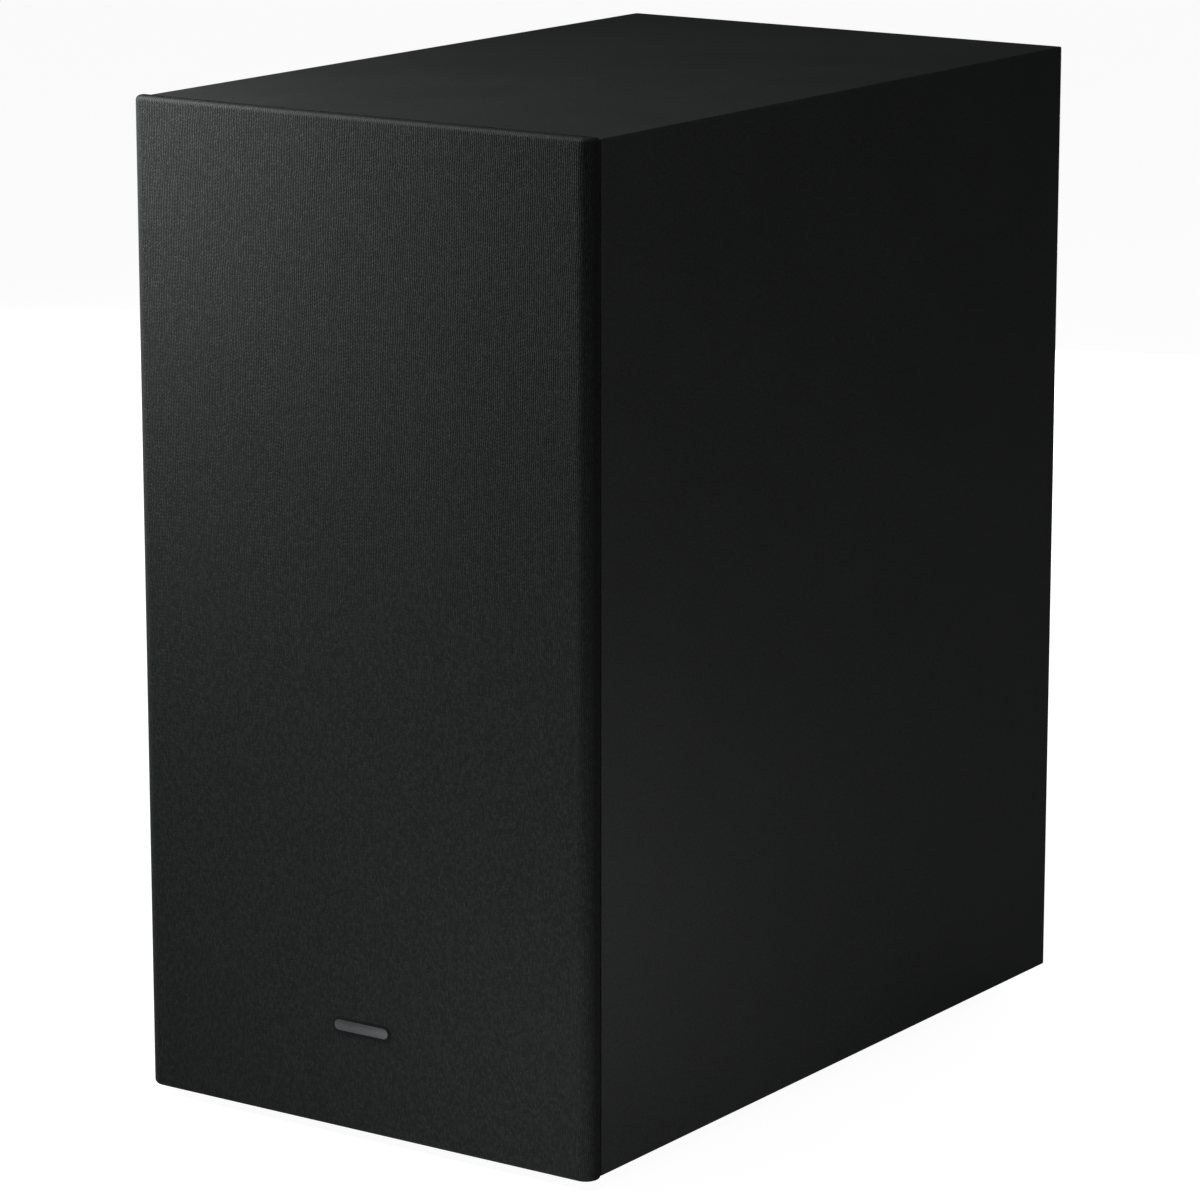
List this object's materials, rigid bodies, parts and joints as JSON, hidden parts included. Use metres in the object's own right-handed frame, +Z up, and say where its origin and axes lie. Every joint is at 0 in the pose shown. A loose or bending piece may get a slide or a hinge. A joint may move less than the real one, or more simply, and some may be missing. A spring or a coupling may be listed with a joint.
{
  "type": "soundbar subwoofer",
  "caption": "Tall black vinyl-wrapped subwoofer box of a soundbar set with a pull-off cloth grille, a front woofer, a rear bass port and an amplifier plate.",
  "frame": {"origin": "on the floor under the middle of the box, centred across its width and between the badge and the cabinet's rear edge", "axes": "+Z up, -Y out of the cloth grille at the front, +X to the right as seen from the front"},
  "size_m": [0.184, 0.295, 0.343],
  "materials": {
    "vinyl_wrapped_board": "matte",
    "painted_board": "matte",
    "bare_fibreboard": "matte",
    "polyester_wadding": "matte",
    "foot_rubber": "matte",
    "black_screw_steel": "satin",
    "basket_steel": "satin",
    "surround_rubber": "satin",
    "spider_cloth": "matte",
    "zinc_steel": "satin",
    "ferrite": "matte",
    "brass_tabs": "satin",
    "cone_paper": "matte",
    "former_paper": "matte",
    "copper_winding": "satin",
    "port_plastic": "satin",
    "amp_plate_plastic": "matte",
    "board_standoff_plastic": "matte",
    "circuit_board": "satin",
    "transformer_wrap": "satin",
    "capacitor_sleeve": "satin",
    "sink_aluminium": "satin",
    "shield_tin": "satin",
    "inlet_plastic": "satin",
    "pin_nickel": "polished",
    "switch_plastic": "satin",
    "plunger_plastic": "satin",
    "button_plastic": "satin",
    "clear_lens": "gloss",
    "led_package": "gloss",
    "connector_nylon": "matte",
    "lead_jacket": "matte",
    "boot_vinyl": "satin",
    "clip_nylon": "matte",
    "frame_plastic": "matte",
    "grille_fabric": "matte",
    "badge_metal": "satin"
  },
  "bodies": {
    "cabinet": {"top_panel": "vinyl_wrapped_board", "bottom_panel": "vinyl_wrapped_board", "left_panel": "vinyl_wrapped_board", "right_panel": "vinyl_wrapped_board", "front_baffle": "painted_board", "rear_panel": "painted_board", "cross_brace": "bare_fibreboard", "glue_blocks": "bare_fibreboard", "left_wadding": "polyester_wadding", "right_wadding": "polyester_wadding", "rubber_feet": "foot_rubber", "foot_screws": "black_screw_steel", "grille_cups": "foot_rubber", "woofer_rim": "basket_steel", "woofer_cage": "basket_steel", "woofer_trim_ring": "foot_rubber", "surround": "surround_rubber", "spider": "spider_cloth", "top_plate": "zinc_steel", "magnet": "ferrite", "yoke": "zinc_steel", "woofer_screws": "black_screw_steel", "woofer_terminals": "brass_tabs", "port_outer_flare": "port_plastic", "port_tube": "port_plastic", "port_inner_flare": "port_plastic", "port_screws": "black_screw_steel", "amp_plate": "amp_plate_plastic", "amp_gasket": "foot_rubber", "amp_screws": "black_screw_steel", "board_standoffs": "board_standoff_plastic", "main_board": "circuit_board", "transformer": "transformer_wrap", "capacitors": "capacitor_sleeve", "heat_sink": "sink_aluminium", "wireless_module": "shield_tin", "ac_inlet": "inlet_plastic", "ac_inlet_pins": "pin_nickel", "switch_body": "switch_plastic", "led_lens": "clear_lens", "led_chip": "led_package", "board_connector": "connector_nylon", "speaker_lead": "lead_jacket", "lead_boots": "boot_vinyl", "lead_clip": "clip_nylon"},
    "cone_assembly": {"cone": "cone_paper", "dust_cap": "cone_paper", "voice_coil_former": "former_paper", "voice_coil": "copper_winding"},
    "pairing_button": {"id_button": "button_plastic", "switch_plunger": "plunger_plastic"},
    "grille": {"grille_frame": "frame_plastic", "grille_cloth": "grille_fabric", "badge": "badge_metal"}
  },
  "joints": [
    {"name": "grille_pull", "type": "slide", "parent": "cabinet", "child": "grille", "axis": [0, -1, 0], "range_m": [0, 0.04]},
    {"name": "cone_travel", "type": "slide", "parent": "cabinet", "child": "cone_assembly", "axis": [0, -1, 0], "range_m": [-0.005, 0.005], "stiffness_N_per_m": 1900, "deforming": ["surround", "spider"]},
    {"name": "id_button_press", "type": "slide", "parent": "cabinet", "child": "pairing_button", "axis": [0, -1, 0], "range_m": [0, 0.0005], "stiffness_N_per_m": 3200}
  ]
}
